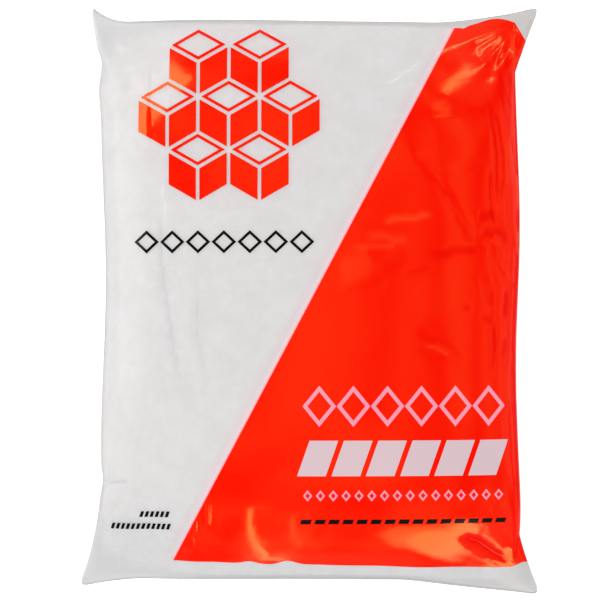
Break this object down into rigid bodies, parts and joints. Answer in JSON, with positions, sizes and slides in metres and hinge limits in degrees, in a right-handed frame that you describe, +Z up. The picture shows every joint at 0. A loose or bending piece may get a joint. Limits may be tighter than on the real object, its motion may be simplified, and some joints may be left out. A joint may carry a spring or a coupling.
{
  "type": "bag of sugar",
  "caption": "Sealed pillow bag of clear film packed with white sugar, lying on its back, with a red printed field and four flat ears at its corners.",
  "frame": {"origin": "middle of the base, on the surface that the bag lies on", "axes": "+X to the pack's right, +Y towards its top end, +Z up, out of the printed front panel"},
  "size_m": [0.1722, 0.2212, 0.051],
  "materials": {
    "film": "clear glossy film with a red printed field",
    "sugar": "fine white granulated sugar"
  },
  "bodies": {
    "root": {"sugar_bag": "film"}
  },
  "joints": []
}
